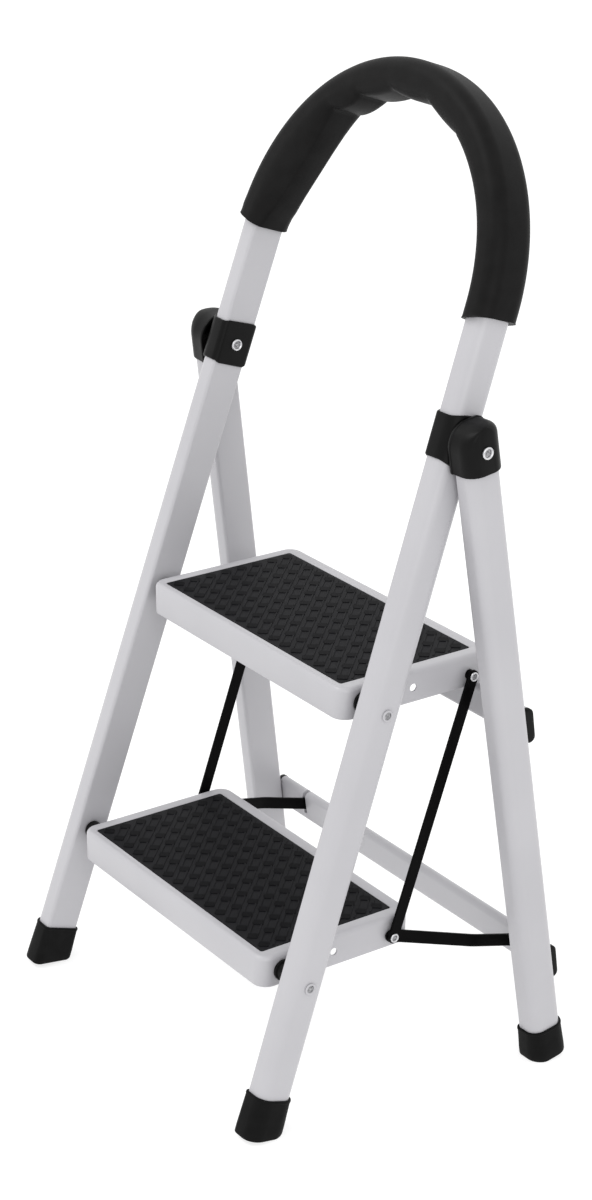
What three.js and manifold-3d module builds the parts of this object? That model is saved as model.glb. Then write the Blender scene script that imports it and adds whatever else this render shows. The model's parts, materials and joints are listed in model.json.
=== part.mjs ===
// Two-step folding stool with a hoop handrail.
// Millimetres, +Z up, the user stands on the -Y side, the floor is z = 0.
import * as THREE from 'three';
import { mergeVertices } from 'three/addons/utils/BufferGeometryUtils.js';
import Module from 'manifold-3d';

const wasm = await Module();
wasm.setup();

// ---------- driving dimensions ----------
const GAP = 0.3;                      // clearance between pieces that touch
const RUN = 0.35;                     // radial clearance of a rivet in its hole
const STANDOFF = { head: 0.5, spacer: 0.6 };   // from a front leg, which slants past them
const SIDES = { left: -1, right: 1 };

const HINGE = { y: 61.2, z: 660.1 };  // axis on which the rear frame turns
const FRONT = { lean: rad(18.9), splay: rad(1.3), x: 188.5 };
const REAR = { lean: rad(-8.4), splay: rad(2.2), x: 219 };
const TUBE = { width: 26, depth: 38, inner: 4, outer: 12, wall: 1.2 };
const HOOP = { centre: 120, steps: 22 };
const GRIP = { width: 35, depth: 50, inner: 13, outer: 15, mitre: rad(14), left: 127, right: 112 };
const SLEEVE = { wall: 2.2, below: 22, above: 22, tilt: rad(7) };
const CAP = { wall: 2.7, lip: 1.2, below: 22, above: 25, frontRound: 24, rearRound: 10, lowRound: 2 };
const BOOT = { wall: 3, front: 40, rear: 36, tubeEnd: 16, land: 14, rise: rad(14) };
const PLUG = { wall: 1.8, cover: 4, end: 2.5 };
const CROSSBAR = { height: 36.5, depth: 12, wall: 1.2 };
const CROSSBAR_AT = { upper: { half: 229, z: 368.3 }, lower: { half: 235, z: 98.5 } };
const REAR_TOP = 7;                   // top end of a rear leg above the hinge axis
const SLOT = { x: 186, width: 5, below: 8, pivot: 2 };   // heights from the crossbar's middle

const STEP = { half: 168, front: 24.5, rear: 156.5, height: 33, corner: 15, sheet: 1.5 };
const STEP_PIVOT = { lower: 149.8, upper: 409.8, drop: 16.5 };   // drop is from tread to pivot
const MAT = { halfX: 153, front: 14.5, rear: 141, recess: 2.2, proud: 0.5, corner: 2 };
const SIGHT_HOLE = { y: 61, z: -1, radius: 4 };
const ARM = { y: 129, z: -3.5 };      // from a step's front pivot to its rear link pivot
const LINK = { width: 12.5, thick: 3, long: 172.8, short: 169.3, shortWidth: 13 };
const BEND = { from: 0.06, to: 0.6 };   // where a short link slants outward, along its length
const WASHER = { radius: 5.25 };
const RIVET = { shank: 3.8, head: 6.2, headHeight: 2 };
const PIN = { shank: 2.6, head: 5, headHeight: 1.6 };
const HEAD_FACE = 0.8;                // flat of a rivet's head, as a share of its radius
const SPACER = { radius: 11, bore: RIVET.shank + RUN };

const FACETS = { leg: 3, grip: 4, round: 6, matCorner: 2, rod: 20, disc: 28 };
const OVERSHOOT = 5;                  // how far a cutting tool runs past the face it cuts
const FAR = 400;                      // beyond the stool in any direction
const NEARLY = 0.01;                  // keeps the last facet of a full round end from vanishing
const WELD = 1e-4;

const PAINT = { color: 0xcfcdd2, roughness: 0.42, metalness: 0.0 };
const PLASTIC = { color: 0x1b1b1c, roughness: 0.45, metalness: 0.0 };
const RUBBER = { color: 0x191919, roughness: 0.7, metalness: 0.0 };
const FOAM = { color: 0x141414, roughness: 0.85, metalness: 0.0 };
const BLACK_STEEL = { color: 0x0d0d0e, roughness: 0.35, metalness: 0.2 };
const ZINC = { color: 0xc4c5c8, roughness: 0.3, metalness: 0.9 };

function rad(degrees) {
  return degrees * Math.PI / 180;
}

// ---------- outlines ----------

// Closed polygon with a round at every corner; corners are [x, y, radius], counter-clockwise.
function roundedShape(corners, segments = FACETS.leg) {
  const points = [];
  corners.forEach(([x, y, radius], i) => {
    const [px, py] = corners[(i + corners.length - 1) % corners.length];
    const [nx, ny] = corners[(i + 1) % corners.length];
    const into = new THREE.Vector2(x - px, y - py).normalize();
    const out = new THREE.Vector2(nx - x, ny - y).normalize();
    const turn = Math.atan2(into.cross(out), into.dot(out));
    const reach = radius * Math.tan(turn / 2);
    const centre = new THREE.Vector2(x, y)
      .addScaledVector(into, -reach)
      .add(new THREE.Vector2(-into.y, into.x).multiplyScalar(radius));
    const start = Math.atan2(-into.x, into.y);
    for (let k = 0; k <= segments; k += 1) {
      const angle = start + turn * k / segments;
      points.push(new THREE.Vector2(
        centre.x + radius * Math.cos(angle), centre.y + radius * Math.sin(angle)));
    }
  });
  return new THREE.Shape(points);
}

function rectangle(x0, x1, y0, y1, radius, segments) {
  return roundedShape(
    [[x0, y0, radius], [x1, y0, radius], [x1, y1, radius], [x0, y1, radius]], segments);
}

// Leg section: y is outward, the inner side is flat and the outer corners are well rounded.
function legShape(grow) {
  const w = TUBE.width / 2 + grow;
  const d = TUBE.depth / 2 + grow;
  const inner = Math.max(TUBE.inner + grow, 1);
  const outer = TUBE.outer + grow;
  return roundedShape([[-d, -w, inner], [d, -w, inner], [d, w, outer], [-d, w, outer]]);
}

// Outline with straight sides and full round ends, centred, long along y.
function stadium(height, width) {
  const r = width / 2;
  return rectangle(-r, r, -height / 2, height / 2, r - NEARLY, FACETS.round);
}

function ringShape(outer, inner) {
  outer.holes.push(new THREE.Path(inner.getPoints()));
  return outer;
}

// ---------- solids ----------

class StraightPath extends THREE.LineCurve3 {
  getSpacedPoints() {
    return [this.v1.clone(), this.v2.clone()];
  }
}

// Centre line of the front tube in the plane of the front frame: leg, arc over the top, leg.
class HoopPath extends THREE.Curve {
  constructor(foot) {
    super();
    this.foot = foot;
    this.radius = FRONT.x * Math.cos(FRONT.splay) - HOOP.centre * Math.sin(FRONT.splay);
  }

  station(index) {
    const last = HOOP.steps + 2;
    if (index <= 0 || index >= last) {
      const side = index <= 0 ? 1 : -1;
      const x = FRONT.x - this.foot * Math.tan(FRONT.splay);
      return new THREE.Vector3(side * x, 0, this.foot);
    }
    const sweep = Math.PI + 2 * FRONT.splay;
    const angle = sweep * (index - 1) / HOOP.steps - FRONT.splay;
    return new THREE.Vector3(
      this.radius * Math.cos(angle), 0, HOOP.centre + this.radius * Math.sin(angle));
  }

  getPointAt(u) {
    return this.station(Math.round(u * (HOOP.steps + 2)));
  }

  getTangentAt(u) {
    const i = Math.round(u * (HOOP.steps + 2));
    const last = HOOP.steps + 2;
    if (i <= 1) return this.station(1).sub(this.station(0)).normalize();
    if (i >= last - 1) return this.station(last).sub(this.station(last - 1)).normalize();
    return this.station(i + 1).sub(this.station(i - 1)).normalize();
  }
}

function sweep(shape, path, steps) {
  return new THREE.ExtrudeGeometry(shape, { steps, extrudePath: path, bevelEnabled: false });
}

// A straight stretch of leg section in a frame's own plane, from height a to height b.
function legStretch(frame, side, shape, a, b) {
  const at = (z) => new THREE.Vector3(side * (frame.x - z * Math.tan(frame.splay)), 0, z);
  const [from, to] = side > 0 ? [a, b] : [b, a];
  return sweep(shape, new StraightPath(at(from), at(to)), 1);
}

// Extrusion of a y-z outline along x, from x0 to x1.
function alongX(shape, x0, x1) {
  const geometry = new THREE.ExtrudeGeometry(shape, { depth: x1 - x0, bevelEnabled: false });
  geometry.applyMatrix4(new THREE.Matrix4().set(
    0, 0, 1, x0,
    1, 0, 0, 0,
    0, 1, 0, 0,
    0, 0, 0, 1));
  return geometry;
}

function alongZ(shape, z0, z1) {
  const geometry = new THREE.ExtrudeGeometry(shape, { depth: z1 - z0, bevelEnabled: false });
  return geometry.translate(0, 0, z0);
}

function rodAlongX(radius, x0, x1, y, z, segments = FACETS.rod) {
  const [a, b] = [Math.min(x0, x1), Math.max(x0, x1)];
  const geometry = new THREE.CylinderGeometry(radius, radius, b - a, segments);
  return geometry.rotateZ(Math.PI / 2).translate((a + b) / 2, y, z);
}

// The two ends of a stretch of x on one side of the stool, in rising order.
function span(side, from, to) {
  return side > 0 ? [from, to] : [-to, -from];
}

function box(x0, x1, y0, y1, z0, z1) {
  const geometry = new THREE.BoxGeometry(x1 - x0, y1 - y0, z1 - z0);
  return geometry.translate((x0 + x1) / 2, (y0 + y1) / 2, (z0 + z1) / 2);
}

function toSolid(geometry) {
  const bare = geometry.clone();
  bare.deleteAttribute('normal');
  bare.deleteAttribute('uv');
  const merged = mergeVertices(bare, WELD);
  return new wasm.Manifold(new wasm.Mesh({
    numProp: 3,
    vertProperties: new Float32Array(merged.attributes.position.array),
    triVerts: new Uint32Array(merged.index.array),
  }));
}

function fromSolid(solid) {
  const mesh = solid.getMesh();
  const geometry = new THREE.BufferGeometry();
  geometry.setAttribute('position', new THREE.BufferAttribute(mesh.vertProperties, 3));
  geometry.setIndex(new THREE.BufferAttribute(mesh.triVerts, 1));
  geometry.computeVertexNormals();
  return geometry;
}

function cut(geometry, tools) {
  return fromSolid(tools.reduce((solid, tool) => solid.subtract(toSolid(tool)), toSolid(geometry)));
}

function common(a, b) {
  return fromSolid(toSolid(a).intersect(toSolid(b)));
}

function joined(a, b) {
  return fromSolid(toSolid(a).add(toSolid(b)));
}

// Rivet along x: a shank with a low round head at each end.
function rivet({ shank, head, headHeight }, side, inside, outside) {
  const length = outside - inside;
  const face = head * HEAD_FACE;
  const profile = [
    [0, 0], [face, 0], [head, headHeight / 2], [head, headHeight], [shank, headHeight],
    [shank, length - headHeight], [head, length - headHeight], [head, length - headHeight / 2],
    [face, length], [0, length],
  ].map(([x, y]) => new THREE.Vector2(x, y));
  const geometry = new THREE.LatheGeometry(profile, FACETS.rod)
    .rotateZ(-Math.PI / 2)
    .translate(inside, 0, 0);
  return side > 0 ? geometry : geometry.rotateZ(Math.PI);
}

// ---------- assembly helpers ----------

const stool = new THREE.Group();
const frontFrame = new THREE.Group();
frontFrame.position.set(0, HINGE.y, HINGE.z);
frontFrame.rotation.x = -FRONT.lean;
const rearFrame = new THREE.Group();
rearFrame.position.set(0, HINGE.y, HINGE.z);
rearFrame.rotation.x = -REAR.lean;
stool.add(frontFrame, rearFrame);

function addPiece(parent, name, geometry, finish, x = 0, y = 0, z = 0) {
  const mesh = new THREE.Mesh(geometry, new THREE.MeshStandardMaterial(finish));
  mesh.name = name;
  mesh.position.set(x, y, z);
  parent.add(mesh);
}

// Height in a frame's own plane of a point at world height z on the frame's axis.
function alongFrame(frame, z) {
  return (z - HINGE.z) / Math.cos(frame.lean);
}

// Half spacing of a frame's legs at height z along the frame.
function legX(frame, z) {
  return frame.x - z * Math.tan(frame.splay);
}

// World y of the front frame's axis at world height z.
function frontY(z) {
  return HINGE.y + (z - HINGE.z) * Math.tan(FRONT.lean);
}

// Everything below the floor, in the coordinates of a leaning frame. With a rise, the cut tilts
// up from the inner edge of the sole's flat land towards the outside of the stool's base.
function floorCut(frame, rise) {
  const inward = Math.sign(frame.lean);
  const soleEdge = (TUBE.depth / 2 + BOOT.wall) / Math.cos(frame.lean);
  const line = inward * (soleEdge - BOOT.land) - HINGE.z * Math.tan(frame.lean);
  return box(-FAR, FAR, -FAR, FAR, -FAR, 0)
    .rotateX(-inward * rise)
    .translate(0, line, -HINGE.z)
    .rotateX(frame.lean);
}

// ---------- front frame ----------

const stepPivots = ['lower', 'upper'].map((level) => alongFrame(FRONT, STEP_PIVOT[level]));

function frontTube() {
  const foot = alongFrame(FRONT, BOOT.tubeEnd);
  const section = ringShape(legShape(0), legShape(-TUBE.wall));
  const tube = sweep(section, new HoopPath(foot), HOOP.steps + 2);
  const holes = [0, ...stepPivots].flatMap((z) => Object.values(SIDES).map((side) => {
    const x = legX(FRONT, z);
    return rodAlongX(RIVET.shank + RUN, side * (x - TUBE.width), side * (x + TUBE.width), 0, z);
  }));
  return cut(tube, holes);
}

// The same section all along the hoop. Each end is mitred, longer on the inside of the hoop.
function handrailGrip() {
  const { width, depth, inner, outer, mitre } = GRIP;
  const w = width / 2;
  const d = depth / 2;
  const reach = FRONT.x / 2;
  const corners = [[-d, -w, inner], [d, -w, inner], [d, w, outer], [-d, w, outer]];
  const section = ringShape(roundedShape(corners, FACETS.grip), legShape(GAP));
  const grip = sweep(section, new HoopPath(0), HOOP.steps + 2);
  return cut(grip, Object.entries(SIDES).map(([name, side]) => box(
    -reach, reach, -depth, depth, -FRONT.x, 0)
    .rotateY(-side * mitre)
    .translate(side * FRONT.x, 0, GRIP[name])));
}

// Blind rubber boot. It stands on a flat land, and the rest of its sole rises away from it.
function boot(frame, side, height) {
  const rim = alongFrame(frame, height);
  const outside = legStretch(frame, side, legShape(BOOT.wall), alongFrame(frame, -height), rim);
  const pocket = legStretch(
    frame, side, legShape(GAP), alongFrame(frame, BOOT.tubeEnd) - GAP, rim + OVERSHOOT);
  return cut(outside, [pocket, floorCut(frame, 0), floorCut(frame, BOOT.rise)]);
}

// Moulded collar round the front tube at the hinge, cut so that it is tallest at the back.
function hingeSleeve(side) {
  const height = SLEEVE.above + TUBE.depth * Math.sin(SLEEVE.tilt);
  const outside = legStretch(FRONT, side, legShape(GAP + SLEEVE.wall), -SLEEVE.below, height);
  const bore = legStretch(FRONT, side, legShape(GAP), -SLEEVE.below - OVERSHOOT, height + OVERSHOOT);
  const trim = box(-FAR, FAR, -FAR, FAR, 0, FAR).rotateX(SLEEVE.tilt).translate(0, 0, SLEEVE.above);
  const hole = rodAlongX(
    RIVET.shank + RUN, side * (FRONT.x - TUBE.width), side * (FRONT.x + TUBE.width), 0, 0);
  return cut(outside, [bore, trim, hole]);
}

addPiece(frontFrame, 'front_frame_tube', frontTube(), PAINT);
addPiece(frontFrame, 'handrail_grip', handrailGrip(), FOAM);
for (const [name, side] of Object.entries(SIDES)) {
  addPiece(frontFrame, `front_foot_${name}`, boot(FRONT, side, BOOT.front), RUBBER);
  addPiece(frontFrame, `hinge_sleeve_${name}`, hingeSleeve(side), PLASTIC);
  const inside = FRONT.x - TUBE.width / 2 - SLEEVE.wall - 2 * GAP - RIVET.headHeight;
  const outside = REAR.x + TUBE.width / 2 + CAP.wall + 2 * GAP + RIVET.headHeight;
  addPiece(frontFrame, `hinge_rivet_${name}`, rivet(RIVET, side, inside, outside), ZINC);
}

for (const [i, level] of ['lower', 'upper'].entries()) {
  const z = STEP_PIVOT[level];
  const tubeX = legX(FRONT, stepPivots[i]);
  for (const [name, side] of Object.entries(SIDES)) {
    const inside = STEP.half - STEP.sheet - GAP - RIVET.headHeight;
    const outside = tubeX + TUBE.width / 2 + STANDOFF.head + RIVET.headHeight;
    addPiece(stool, `${level}_step_rivet_${name}`, rivet(RIVET, side, inside, outside), ZINC,
      0, frontY(z), z);
    const x0 = side * (STEP.half + GAP);
    const x1 = side * (tubeX - TUBE.width / 2 - STANDOFF.spacer);
    const spacer = cut(rodAlongX(SPACER.radius, x0, x1, 0, 0, FACETS.disc),
      [rodAlongX(SPACER.bore, x0 - side * OVERSHOOT, x1 + side * OVERSHOOT, 0, 0)]);
    addPiece(stool, `${level}_step_spacer_${name}`, spacer, PLASTIC, 0, frontY(z), z);
  }
}

// ---------- rear frame ----------

function rearLeg(side) {
  const section = ringShape(legShape(0), legShape(-TUBE.wall));
  const tube = legStretch(REAR, side, section, alongFrame(REAR, BOOT.tubeEnd), REAR_TOP);
  return cut(tube, [rodAlongX(
    RIVET.shank + RUN, side * (REAR.x - TUBE.width), side * (REAR.x + TUBE.width), 0, 0)]);
}

// Moulded cap over the top of a rear leg, open on the side that faces the front tube.
function hingeCap(side) {
  const half = TUBE.depth / 2 + GAP + CAP.wall;
  const profile = roundedShape([
    [-half, -CAP.below, CAP.lowRound], [half, -CAP.below, CAP.lowRound],
    [half, CAP.above, CAP.rearRound], [-half, CAP.above, CAP.frontRound]], FACETS.round);
  const inner = REAR.x - TUBE.width / 2 - CAP.lip;
  const block = alongX(profile, ...span(side, inner, FAR));
  const column = legStretch(
    REAR, side, legShape(GAP + CAP.wall), -CAP.below - OVERSHOOT, CAP.above + OVERSHOOT);
  const pocket = legStretch(
    REAR, side, legShape(GAP), -CAP.below - 2 * OVERSHOOT, REAR_TOP + GAP);
  const relief = box(...span(side, 0, inner + CAP.lip), -FAR, FAR, -FAR, FAR);
  const hole = rodAlongX(RIVET.shank + RUN, side * (inner - OVERSHOOT), side * FAR, 0, 0);
  return cut(common(block, column), [pocket, relief, hole]);
}

// Flat oval crossbar behind the rear legs. The lower one is slotted for the short links.
function crossbar(half, slots) {
  const { height, depth, wall } = CROSSBAR;
  const section = ringShape(stadium(height, depth), stadium(height - 2 * wall, depth - 2 * wall));
  const bar = alongX(section, -half, half);
  const cuts = slots ? Object.values(SIDES).map((side) => box(
    side * SLOT.x - SLOT.width / 2, side * SLOT.x + SLOT.width / 2,
    -depth, depth, -SLOT.below, height)) : [];
  return cuts.length ? cut(bar, cuts) : bar;
}

function crossbarPlug(half, side) {
  const { height, depth } = CROSSBAR;
  const grow = 2 * (GAP + PLUG.wall);
  const start = half - PLUG.cover;
  const end = half + PLUG.end;
  const outside = alongX(
    stadium(height + grow, depth + grow - 2 * PLUG.wall), ...span(side, start, end));
  const pocket = alongX(
    stadium(height + 2 * GAP, depth + 2 * GAP), ...span(side, start - OVERSHOOT, half + GAP));
  return cut(outside, [pocket]);
}

const crossbarY = TUBE.depth / 2 + 2 * GAP + CROSSBAR.depth / 2;

// Height along the rear frame of a crossbar whose middle is at world height z.
function crossbarAt(z) {
  return alongFrame(REAR, z) + crossbarY * Math.tan(REAR.lean);
}

for (const [name, side] of Object.entries(SIDES)) {
  addPiece(rearFrame, `rear_leg_${name}`, rearLeg(side), PAINT);
  addPiece(rearFrame, `hinge_cap_${name}`, hingeCap(side), PLASTIC);
  addPiece(rearFrame, `rear_foot_${name}`, boot(REAR, side, BOOT.rear), RUBBER);
}
for (const level of ['lower', 'upper']) {
  const { half } = CROSSBAR_AT[level];
  const z = crossbarAt(CROSSBAR_AT[level].z);
  addPiece(rearFrame, `${level}_crossbar`, crossbar(half, level === 'lower'), PAINT, 0, crossbarY, z);
  for (const [name, side] of Object.entries(SIDES)) {
    addPiece(rearFrame, `${level}_crossbar_plug_${name}`, crossbarPlug(half, side), PLASTIC,
      0, crossbarY, z);
  }
}

// ---------- steps ----------

function matOutline(grow) {
  return rectangle(-MAT.halfX - grow, MAT.halfX + grow, -MAT.front - grow, MAT.rear + grow,
    MAT.corner + grow, FACETS.matCorner);
}

// Pressed tray: a tread with a shallow recess for the mat and a deep skirt all round.
// Its own origin is the front pivot.
function stepTray() {
  const { half, front, rear, height, corner, sheet } = STEP;
  const top = STEP_PIVOT.drop;
  const outline = (grow) => rectangle(
    -half - grow, half + grow, -front - grow, rear + grow, corner + grow, FACETS.round);
  const block = alongZ(outline(0), top - height, top);
  const hollow = alongZ(outline(-sheet), top - height - OVERSHOOT, top - sheet);
  const floor = alongZ(matOutline(sheet + GAP), top - MAT.recess - sheet, top - sheet / 2);
  const recess = alongZ(matOutline(GAP), top - MAT.recess, top + OVERSHOOT);
  const tray = cut(joined(cut(block, [hollow]), floor), [recess]);
  const reach = half + OVERSHOOT;
  return cut(tray, [
    rodAlongX(RIVET.shank + RUN, -reach, reach, 0, 0),
    rodAlongX(PIN.shank + RUN, -reach, reach, ARM.y, ARM.z),
    rodAlongX(SIGHT_HOLE.radius, -reach, reach, SIGHT_HOLE.y, SIGHT_HOLE.z),
  ]);
}

function stepMat() {
  const top = STEP_PIVOT.drop;
  return alongZ(matOutline(0), top - MAT.recess + GAP, top + MAT.proud);
}

for (const level of ['lower', 'upper']) {
  const z = STEP_PIVOT[level];
  addPiece(stool, `${level}_step_tray`, stepTray(), PAINT, 0, frontY(z), z);
  addPiece(stool, `${level}_step_mat`, stepMat(), RUBBER, 0, frontY(z), z);
}

// ---------- links ----------

const jointOf = {
  lower: { y: frontY(STEP_PIVOT.lower) + ARM.y, z: STEP_PIVOT.lower + ARM.z },
  upper: { y: frontY(STEP_PIVOT.upper) + ARM.y, z: STEP_PIVOT.upper + ARM.z },
};

// Where the short links reach the lower crossbar, in world y and z.
function shortLinkEnd() {
  const z = crossbarAt(CROSSBAR_AT.lower.z);
  const point = new THREE.Vector3(0, crossbarY, z + SLOT.pivot).applyAxisAngle(
    new THREE.Vector3(1, 0, 0), -REAR.lean);
  return { y: HINGE.y + point.y, z: HINGE.z + point.z };
}

// Flat bar with round ends, hung from its lower joint and pointing along +y before it is turned.
function flatBar(length, width, x0, x1) {
  const r = width / 2;
  return alongX(rectangle(-r, length + r, -r, r, r - NEARLY, FACETS.round), x0, x1);
}

function longLink(side) {
  const dy = jointOf.upper.y - jointOf.lower.y;
  const dz = jointOf.upper.z - jointOf.lower.z;
  const length = Math.hypot(dy, dz);
  const [x0, x1] = span(side, LINK.long, LINK.long + LINK.thick);
  const bar = cut(flatBar(length, LINK.width, x0, x1), [0, length].map((y) => rodAlongX(
    PIN.shank + RUN, x0 - OVERSHOOT, x1 + OVERSHOOT, y, 0)));
  return bar.rotateX(Math.atan2(dz, dy));
}

// The short link slants outward on its way back, so that it meets its slot in the crossbar.
function shortLink(side) {
  const end = shortLinkEnd();
  const dy = end.y - jointOf.lower.y;
  const dz = end.z - jointOf.lower.z;
  const length = Math.hypot(dy, dz);
  const t = LINK.thick;
  const r = LINK.shortWidth / 2;
  const shift = SLOT.x - t / 2 - LINK.short;
  const bendFrom = length * BEND.from;
  const bendTo = length * BEND.to;
  const strip = new THREE.Shape([
    [0, -r], [0, bendFrom], [shift, bendTo], [shift, length + r],
    [shift + t, length + r], [shift + t, bendTo], [t, bendFrom], [t, -r],
  ].map(([x, y]) => new THREE.Vector2(side * (LINK.short + x), y)));
  const outline = flatBar(length, LINK.shortWidth, -FAR, FAR);
  const [x0, x1] = span(side, LINK.short, LINK.short + t);
  const bar = cut(common(alongZ(strip, -r - OVERSHOOT, r + OVERSHOOT), outline), [
    rodAlongX(PIN.shank + RUN, x0 - OVERSHOOT, x1 + OVERSHOOT, 0, 0)]);
  return bar.rotateX(Math.atan2(dz, dy));
}

for (const [name, side] of Object.entries(SIDES)) {
  const { y, z } = jointOf.lower;
  addPiece(stool, `long_link_${name}`, longLink(side), BLACK_STEEL, 0, y, z);
  addPiece(stool, `short_link_${name}`, shortLink(side), BLACK_STEEL, 0, y, z);
  for (const level of ['lower', 'upper']) {
    const inside = STEP.half - STEP.sheet - GAP - PIN.headHeight;
    const outside = LINK.long + LINK.thick + GAP + PIN.headHeight;
    addPiece(stool, `${level}_link_rivet_${name}`, rivet(PIN, side, inside, outside), ZINC,
      0, jointOf[level].y, jointOf[level].z);
  }
  const x0 = side * (STEP.half + GAP);
  const x1 = side * (LINK.long - GAP);
  const washer = cut(rodAlongX(WASHER.radius, x0, x1, 0, 0),
    [rodAlongX(PIN.shank + RUN, x0 - side * OVERSHOOT, x1 + side * OVERSHOOT, 0, 0)]);
  addPiece(stool, `link_washer_${name}`, washer, BLACK_STEEL, 0, jointOf.upper.y, jointOf.upper.z);
}

export default stool;
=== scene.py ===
import json
import math
import random

import bmesh
import bpy
from mathutils import Matrix, Vector


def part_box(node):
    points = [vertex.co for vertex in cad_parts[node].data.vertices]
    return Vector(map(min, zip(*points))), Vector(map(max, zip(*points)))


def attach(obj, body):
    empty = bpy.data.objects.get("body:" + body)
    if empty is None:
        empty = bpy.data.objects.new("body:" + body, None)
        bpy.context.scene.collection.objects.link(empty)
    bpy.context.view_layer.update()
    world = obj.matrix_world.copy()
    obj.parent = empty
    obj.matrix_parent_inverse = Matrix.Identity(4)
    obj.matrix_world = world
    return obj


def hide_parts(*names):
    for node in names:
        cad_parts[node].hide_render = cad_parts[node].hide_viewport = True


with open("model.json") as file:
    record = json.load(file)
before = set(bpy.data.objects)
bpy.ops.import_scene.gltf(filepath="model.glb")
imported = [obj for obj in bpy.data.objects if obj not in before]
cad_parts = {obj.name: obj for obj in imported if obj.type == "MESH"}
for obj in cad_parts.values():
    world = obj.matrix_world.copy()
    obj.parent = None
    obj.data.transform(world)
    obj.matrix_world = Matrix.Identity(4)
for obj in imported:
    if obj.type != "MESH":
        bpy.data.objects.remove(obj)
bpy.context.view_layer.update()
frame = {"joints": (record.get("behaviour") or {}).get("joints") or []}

# ---------- driving dimensions, in metres ----------
MM = 0.001
SIDES = {"left": -1, "right": 1}
LEVELS = ("lower", "upper")
CLEAR = 0.3 * MM

PIVOT = {j["name"]: Vector(j["pos_m"]) for j in frame["joints"]}
HINGE = PIVOT["rear_frame_fold"]
STEP_PIVOT = {level: PIVOT[f"{level}_step_fold"] for level in LEVELS}
LINK_PIVOT = {"upper": PIVOT["long_link_pivot_right"], "lower": PIVOT["short_link_pivot_right"]}

FRONT_LEAN = math.atan2(HINGE.y - STEP_PIVOT["lower"].y, HINGE.z - STEP_PIVOT["lower"].z)
REAR_LEAN = -math.radians(8.4)
TUBE = {"width": 26 * MM, "depth": 38 * MM, "inner": 4 * MM, "outer": 12 * MM}
TUBE_END = 16 * MM
HOOP_CENTRE = 120 * MM
GRIP = {"width": 35 * MM, "depth": 50 * MM, "inner": 13 * MM, "outer": 15 * MM}
GRIP_END = {"left": 127 * MM, "right": 112 * MM}
GRIP_MITRE = math.radians(14)
SLEEVE = {"wall": 2.2 * MM, "below": 22 * MM, "above": 22.5 * MM, "tilt": math.radians(2)}
CAP = {"wall": 2.7 * MM, "below": 22 * MM, "above": 25 * MM, "front": 24 * MM, "rear": 10 * MM}
REAR_TOP = 7 * MM
BOOT = {"wall": 3 * MM, "land": 14 * MM, "rise": math.radians(10)}
BOOT_RIM = {"front": 40 * MM, "rear": 36 * MM}
SHEET = 1.5 * MM
TRAY_CORNER = 15 * MM
TRAY_EDGE = 5 * MM
MAT_RECESS = 2.2 * MM
SIGHT_HOLE = {"y": 61 * MM, "z": -1 * MM, "radius": 4 * MM}
LINK_WIDTH = {"long": 12.5 * MM, "short": 13 * MM}
SLOT = {"x": 186 * MM, "width": 5 * MM, "below": 8 * MM}
BEND = {"from": 0.06, "to": 0.6}


class LeaningFrame:
    """One of the two tube frames: its own plane stands at the hinge and leans about it."""

    def __init__(self, lean, half, splay):
        self.lean = lean
        self.half = half
        self.splay = splay
        self.matrix = Matrix.Translation(HINGE) @ Matrix.Rotation(-lean, 4, "X")

    def along(self, z):
        """Height in the frame's plane of a point at world height z on its axis."""
        return (z - HINGE.z) / math.cos(self.lean)

    def leg_x(self, z):
        return self.half - z * math.tan(self.splay)

    def on_leg(self, side, depth, out, z):
        """World place of a point of a leg's section: depth along y, out away from the middle."""
        x = self.leg_x(z) + out * math.cos(self.splay)
        return self.matrix @ Vector((side * x, depth, z + out * math.sin(self.splay)))


FRONT = LeaningFrame(FRONT_LEAN, 188.5 * MM, math.radians(1.3))
REAR = LeaningFrame(REAR_LEAN, 219 * MM, math.radians(2.2))

# ---------- outlines ----------


def rounded(corners, segments):
    """Closed outline with a round at each corner; corners are (x, y, radius), counter-clockwise."""
    points = []
    for i, (x, y, radius) in enumerate(corners):
        before = Vector(corners[i - 1][:2])
        after = Vector(corners[(i + 1) % len(corners)][:2])
        corner = Vector((x, y))
        into = (corner - before).normalized()
        out = (after - corner).normalized()
        turn = math.atan2(into.x * out.y - into.y * out.x, into.dot(out))
        centre = corner - into * radius * math.tan(turn / 2) + Vector((-into.y, into.x)) * radius
        start = math.atan2(-into.x, into.y)
        for k in range(segments + 1):
            angle = start + turn * k / segments
            points.append((centre.x + radius * math.cos(angle), centre.y + radius * math.sin(angle)))
    return points


def box_outline(x0, x1, y0, y1, radius, segments=8):
    corners = [(x0, y0, radius), (x1, y0, radius), (x1, y1, radius), (x0, y1, radius)]
    return rounded(corners, segments)


def leg_outline(grow, segments=8):
    """Section of a leg as (depth, out): flat inside, well rounded at the outer corners."""
    return ring_outline(TUBE["width"] + 2 * grow, TUBE["depth"] + 2 * grow,
                        max(TUBE["inner"] + grow, MM), TUBE["outer"] + grow, segments)


def ring_outline(width, depth, inner, outer, segments=8):
    w, d = width / 2, depth / 2
    return rounded([(-d, -w, inner), (d, -w, inner), (d, w, outer), (-d, w, outer)], segments)


def stadium(height, width, segments=10):
    r = width / 2
    return box_outline(-r, r, -height / 2, height / 2, r * 0.995, segments)


# ---------- meshes ----------


def finish_mesh(name, mesh_data, sharp=35):
    """Turns a bmesh into a linked object with its faces out, smooth up to an angle."""
    bmesh.ops.remove_doubles(mesh_data, verts=mesh_data.verts, dist=1e-6)
    bmesh.ops.recalc_face_normals(mesh_data, faces=mesh_data.faces)
    mesh = bpy.data.meshes.new(name)
    mesh_data.to_mesh(mesh)
    mesh_data.free()
    mesh.shade_smooth()
    mesh.set_sharp_from_angle(angle=math.radians(sharp))
    piece = bpy.data.objects.new(name, mesh)
    bpy.context.scene.collection.objects.link(piece)
    return piece


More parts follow.
